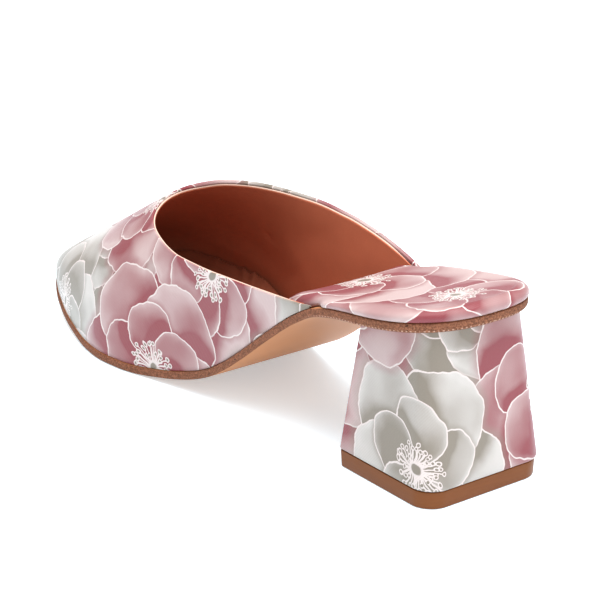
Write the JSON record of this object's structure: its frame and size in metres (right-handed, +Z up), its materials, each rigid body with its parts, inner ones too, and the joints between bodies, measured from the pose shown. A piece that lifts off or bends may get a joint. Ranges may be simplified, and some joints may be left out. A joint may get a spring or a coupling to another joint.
{
  "type": "block heel mule",
  "caption": "Slip-on block heel mule for the left foot, with a closed soft toe, open back, padded footbed and flared square heel in a floral print.",
  "frame": {"origin": "on the floor, under the middle of the shoe's box", "axes": "+Y towards the toe, +Z up, +X towards the inner side of the foot; body root"},
  "size_m": [0.08, 0.2514, 0.0674],
  "materials": {
    "sole": "smooth tan underside with a brown, finely speckled edge",
    "heel_cover": "rose and grey floral print with a satin sheen",
    "lift": "smooth satin brown",
    "upper_print": "rose and grey floral print with a satin sheen",
    "lining": "soft terracotta brown lining leather",
    "seat_print": "rose floral print over thin padding"
  },
  "bodies": {
    "root": {"outsole": "sole", "heel_block": "heel_cover", "top_lift": "lift", "upper": "upper_print", "insole": "lining", "seat_pad": "seat_print"}
  },
  "joints": []
}
